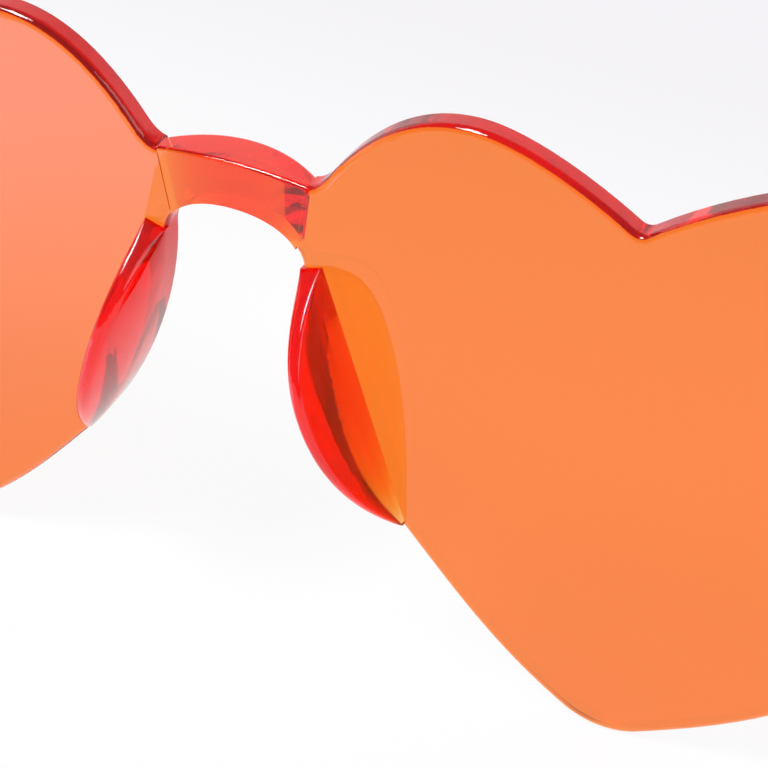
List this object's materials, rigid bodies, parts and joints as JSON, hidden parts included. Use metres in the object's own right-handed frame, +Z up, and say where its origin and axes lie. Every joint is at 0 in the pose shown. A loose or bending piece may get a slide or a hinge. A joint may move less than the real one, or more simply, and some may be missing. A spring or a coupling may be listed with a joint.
{
  "type": "heart shaped sunglasses",
  "caption": "Rimless sunglasses with flat clear orange heart plates, a bowed bridge, half-moon nose pads and folding temples on screwed hinges.",
  "frame": {"origin": "middle of the whole part's box, on the surface that the hearts' tips and the temples' tips stand on", "axes": "+Z up, +X towards the wearer's left, the hearts' fronts face -Y and the temples run back along +Y"},
  "size_m": [0.144, 0.1452, 0.0673],
  "materials": {
    "clear_orange_plastic": "polished, see-through",
    "hinge_steel": "satin"
  },
  "bodies": {
    "front": {"bridge": "clear_orange_plastic", "lens_left": "clear_orange_plastic", "lens_right": "clear_orange_plastic", "nose_pad_left": "clear_orange_plastic", "nose_pad_right": "clear_orange_plastic", "end_piece_left": "clear_orange_plastic", "end_piece_right": "clear_orange_plastic", "front_hinge_left": "hinge_steel", "front_hinge_right": "hinge_steel", "front_rivets_left": "hinge_steel", "front_rivets_right": "hinge_steel", "hinge_screw_left": "hinge_steel", "hinge_screw_right": "hinge_steel"},
    "left_arm": {"temple_left": "clear_orange_plastic", "temple_hinge_left": "hinge_steel", "temple_rivets_left": "hinge_steel"},
    "right_arm": {"temple_right": "clear_orange_plastic", "temple_hinge_right": "hinge_steel", "temple_rivets_right": "hinge_steel"}
  },
  "joints": [
    {"name": "left_fold", "type": "hinge", "parent": "front", "child": "left_arm", "pos_m": [0.0668, -0.05725, 0.04915], "axis": [0, 0, 1], "range_deg": [0, 92]},
    {"name": "right_fold", "type": "hinge", "parent": "front", "child": "right_arm", "pos_m": [-0.0668, -0.05725, 0.04915], "axis": [0, 0, -1], "range_deg": [0, 88]}
  ]
}
